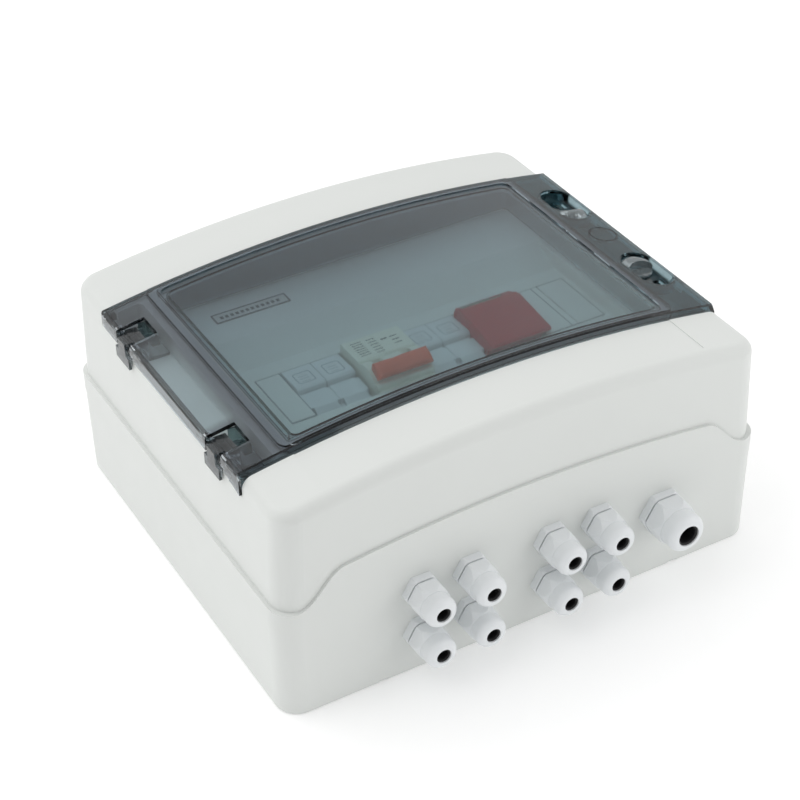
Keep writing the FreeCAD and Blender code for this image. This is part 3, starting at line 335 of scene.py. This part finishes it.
def blanking_plastic():
    """Blanking strips with a painted shade line in the slit round them, and a painted shade line in
    a snap-off score of the right one.
    """
    pale, gap_shade = (0.72, 0.735, 0.72), (0.28, 0.29, 0.29)
    s = moulded_plastic("blanking_plastic", pale, 0.98, 0.45)
    lines = 0.0
    for name, scores in STRIP_SCORES.items():
        (x0, y0, _), (x1, y1, _) = corners_of(name)
        # painted shade: a dark line in the slit round each strip, and in each score
        marks = s.span(s.outside(x0, x1, y0, y1, 0.8), 0, 1, -0.75, -0.45)
        for score in scores:
            marks = s.math("MAXIMUM", marks, s.line(s.axis("X"), x0 + score, 0.25, 0.5))
        near = s.inside_box(x0 - 1, x1 + 1, y0 - 1, y1 + 1)
        lines = s.math("MAXIMUM", s.math("MULTIPLY", marks, near), lines)
    s.link(s.tint(lines, pale, gap_shade), "Base Color")
    return s


def arrester_plastic():
    """Deep red plastic with a pale status window behind its top edge."""
    red, window = (0.43, 0.0, 0.012), (0.20, 0.25, 0.21)
    s = moulded_plastic("arrester_plastic", red, 0.85, 0.4)
    s.set("Specular IOR Level", 0.15)
    low, high = corners_of("arrester_cartridge")
    shown = s.inside_box(low[0] + 2.0, low[0] + 22.0, high[1] - 5.0, high[1] - 1.6)
    s.link(s.tint(shown, red, window), "Base Color")
    return s


def clip_plastic():
    """The hinge clips: deep smoke at the knuckles, nearly clear in the foot under the door."""
    s = smoked("smoked_clip", TINTS["clip_knuckle"], 0.9)
    in_foot = s.span(s.axis("X"), 0, 1, *CLIP_FADE)
    s.link(s.tint(in_foot, TINTS["clip_knuckle"], TINTS["clip_foot"]), "Base Color")
    return s


def door_plastic():
    """The door: a clear smoked pane inside a bead, with painted shade in the pane's back, the bead,
    the border and along the edges, and painted light between the hinges.
    """
    s = smoked("smoked_clear", TINTS["pane_front"])
    (x0, y0, _), (x1, y1, _) = corners_of("door")
    from_bead = s.outside(BEAD_LEFT, BEAD_RIGHT, y0 + BEAD_INSET, y1 - BEAD_INSET, BEAD_CORNER)
    # painted shade: the pane darkens towards the back, where the shaded back wall of the tray shows
    # through
    toward_back_shade = s.span(s.axis("Y"), 0, 1, *PANE_FADE)
    pane = s.tint(toward_back_shade, TINTS["pane_front"], TINTS["pane_back_shade"])
    # painted shade: the border is darkened for the shade under the door, most of all on the latch
    # side over the shaded side wall of the tray
    to_latch_side_shade = s.span(s.axis("X"), 0, 1, BEAD_RIGHT - 7.0, BEAD_RIGHT + 3.0)
    border = s.tint(to_latch_side_shade, TINTS["border"], TINTS["border_latch_side_shade"])
    # painted light: a paler patch on the border between the hinges, where light comes in past the
    # flange
    on_light_patch = s.span(s.outside(*HINGE_LIGHT_PATCH, 3.0), 1, 0, -3.5, 1.5)
    border = s.tint(on_light_patch, border, TINTS["light_between_hinges"])
    # painted shade: the bead is darker over the shaded walls of the tray
    on_bead = s.span(from_bead, 0, 1, -BEAD_WIDTH - 0.4, -BEAD_WIDTH + 0.4)
    tinted = s.tint(on_bead, pane, TINTS["bead"])
    tinted = s.tint(s.span(from_bead, 0, 1, -0.4, 0.4), tinted, border)
    # painted shade: a dark band along the bead's latch-side edge, which also hides refraction
    # glints there
    latch_shade_band = s.inside_box(BEAD_RIGHT - 1.6, BEAD_RIGHT + 1.6,
                              y0 + BEAD_CORNER, y1 - BEAD_CORNER, 0.8)
    tinted = s.tint(s.math("MULTIPLY", latch_shade_band, 0.9), tinted, TINTS["bead_latch_side_shade"])
    # painted shade: dark lines along the bead's outer and inner edges
    for place in (0.0, -BEAD_WIDTH):
        tinted = s.tint(s.line(from_bead, place, 0.21, 0.49, 0.85), tinted, TINTS["bead_shade_line"])
    # painted shade along the door's edges, ending in a black painted shade line; paler on the hinge
    # side as a painted reflection of the flange
    from_edge = s.outside(x0, x1, y0, y1, 4.0)
    on_hinge_edge = s.span(s.axis("X"), 1, 0, x0 + 1.9, x0 + 2.1)
    edge = s.tint(on_hinge_edge, TINTS["edge"], TINTS["hinge_edge_reflection"])
    tinted = s.tint(s.span(from_edge, 0, 1, -EDGE_SHADE_WIDTH, 0.5 - EDGE_SHADE_WIDTH), tinted, edge)
    tinted = s.tint(s.line(from_edge, -EDGE_SHADE_WIDTH - 0.2, 0.25, 0.5, 0.9), tinted, BLACK)
    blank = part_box("lock_knockout_disc")
    x, y = [(blank[0][i] + blank[1][i]) / 2 / MM for i in (0, 1)]
    radius = (blank[1][1] - blank[0][1]) / 2 / MM
    from_blank = s.outside(x - radius, x + radius, y - radius, y + radius, radius - 0.01)
    s.link(s.tint(s.line(from_blank, 0.0, 0.5, 0.9), tinted, BLACK), "Base Color")
    return s


def make_materials():
    """Every material of the object, by the name of its slot."""
    made = {}
    for name, values in PLAIN_PLASTICS.items():
        made[name] = moulded_plastic(name, *values)
    for name, values in METALS.items():
        made[name] = metal(name, *values)
    made["label"] = printed_label()
    made["breaker_plastic"] = breaker_plastic()
    made["fuse_plastic"] = fuse_plastic()
    made["blanking_plastic"] = blanking_plastic()
    made["arrester_plastic"] = arrester_plastic()
    made["smoked_clear"] = door_plastic()
    made["smoked_clip"] = clip_plastic()
    made["smoked_knob"] = smoked("smoked_knob", TINTS["knob"], 0.78)
    return made


def paint_nodes(made):
    """Give each CAD node the material of its slot in the record."""
    slots = {row["node"]: row["material_slot"] for row in frame["record"]["subparts"]}
    for name, obj in NODES.items():
        obj.data.materials.clear()
        obj.data.materials.append(made[slots[name]].material)


# ---------------------------------------------------------------- added pieces
def hinge_pocket(name, slot_y, material):
    """A shallow pocket under a hinge slot of the door, open at the top and towards the clip."""
    low, high = slot_y - POCKET_HALF, slot_y + POCKET_HALF
    inner_right = POCKET_RIGHT - POCKET_WALL
    # the walls in plan: a U that is open towards -X, its outer corners first
    ring = [(POCKET_LEFT, low - POCKET_WALL), (POCKET_RIGHT, low - POCKET_WALL),
            (POCKET_RIGHT, high + POCKET_WALL), (POCKET_LEFT, high + POCKET_WALL),
            (POCKET_LEFT, high), (inner_right, high), (inner_right, low), (POCKET_LEFT, low)]
    mesh = bpy.data.meshes.new(name)
    shape = bmesh.new()
    bottom, floor, top = [[shape.verts.new((x * MM, y * MM, z * MM)) for x, y in ring]
                          for z in (POCKET_BOTTOM, POCKET_BOTTOM + POCKET_WALL, POCKET_TOP)]
    outline = (0, 1, 2, 3, 4, 7)                # the full plan under the walls and the floor
    shape.faces.new([bottom[i] for i in reversed(outline)])
    shape.faces.new([floor[i] for i in (7, 6, 5, 4)])
    shape.faces.new(top)
    for below, above, order in ((bottom, floor, outline), (floor, top, tuple(range(8)))):
        for a, b in zip(order, order[1:] + order[:1]):
            shape.faces.new((below[a], below[b], above[b], above[a]))
    bmesh.ops.recalc_face_normals(shape, faces=shape.faces)
    shape.to_mesh(mesh)
    shape.free()
    piece = bpy.data.objects.new(name, mesh)
    bpy.context.scene.collection.objects.link(piece)
    round_edges = piece.modifiers.new("round_edges", "BEVEL")
    round_edges.width = 0.25 * MM
    round_edges.segments = 2
    mesh.materials.append(material)
    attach(piece, "door")


def make_hinge_pockets():
    material = smoked("pocket_smoke", TINTS["pocket"]).material
    for side in ("back", "front"):
        low, high = corners_of("hinge_clip_" + side)
        hinge_pocket("hinge_pocket_" + side, (low[1] + high[1]) / 2 + POCKET_OFFSET, material)


# ---------------------------------------------------------------- stage
def make_floor():
    """A pale floor that glows faintly and reaches far past the object on all sides."""
    reach = 40.0
    pale = (0.97, 0.97, 0.97)
    mesh = bpy.data.meshes.new("floor")
    corners = [(-reach, -reach, 0), (reach, -reach, 0), (reach, reach, 0), (-reach, reach, 0)]
    mesh.from_pydata(corners, [], [(0, 1, 2, 3)])
    floor = bpy.data.objects.new("floor", mesh)
    floor.location.z = -0.2 * MM
    bpy.context.scene.collection.objects.link(floor)
    s = Shader("floor", pale, 0.9)
    s.set("Emission Color", (1, 1, 1, 1))
    s.set("Emission Strength", 0.16)
    s.link(s.tint(s.noise(3.0), pale, (0.96, 0.96, 0.96)), "Base Color")
    mesh.materials.append(s.material)


def area_light(name, place, size, watts):
    """A rectangular light that faces the middle of the object."""
    data = bpy.data.lights.new(name, "AREA")
    data.shape = "RECTANGLE"
    data.size, data.size_y = size
    data.energy = watts
    lamp = bpy.data.objects.new(name, data)
    lamp.location = place
    middle = Vector((0, 0, 0.1))
    lamp.rotation_euler = (middle - Vector(place)).to_track_quat("-Z", "Y").to_euler()
    bpy.context.scene.collection.objects.link(lamp)


def make_world(front_strength, back_strength):
    """A white surround whose strength rises from the front (-Y) to the back (+Y)."""
    world = bpy.data.worlds.new("studio")
    world.use_nodes = True
    nodes, links = world.node_tree.nodes, world.node_tree.links
    nodes["Background"].inputs["Color"].default_value = (1, 1, 1, 1)
    direction = nodes.new("ShaderNodeTexCoord")
    parts = nodes.new("ShaderNodeSeparateXYZ")
    strength = nodes.new("ShaderNodeMapRange")
    strength.inputs["From Min"].default_value = -1.0
    strength.inputs["To Min"].default_value = front_strength
    strength.inputs["To Max"].default_value = back_strength
    links.new(direction.outputs["Generated"], parts.inputs[0])
    links.new(parts.outputs["Y"], strength.inputs["Value"])
    links.new(strength.outputs["Result"], nodes["Background"].inputs["Strength"])
    bpy.context.scene.world = world


def main():
    bpy.context.scene.view_settings.view_transform = "Standard"
    make_camera()
    paint_nodes(make_materials())
    make_hinge_pockets()
    make_floor()
    make_world(front_strength=0.42, back_strength=0.99)
    area_light("top_light", place=(-0.6, 0.4, 1.2), size=(1.7, 1.3), watts=7.0)
    area_light("right_light", place=(0.85, -0.85, 0.6), size=(1.4, 0.9), watts=4.4)


main()
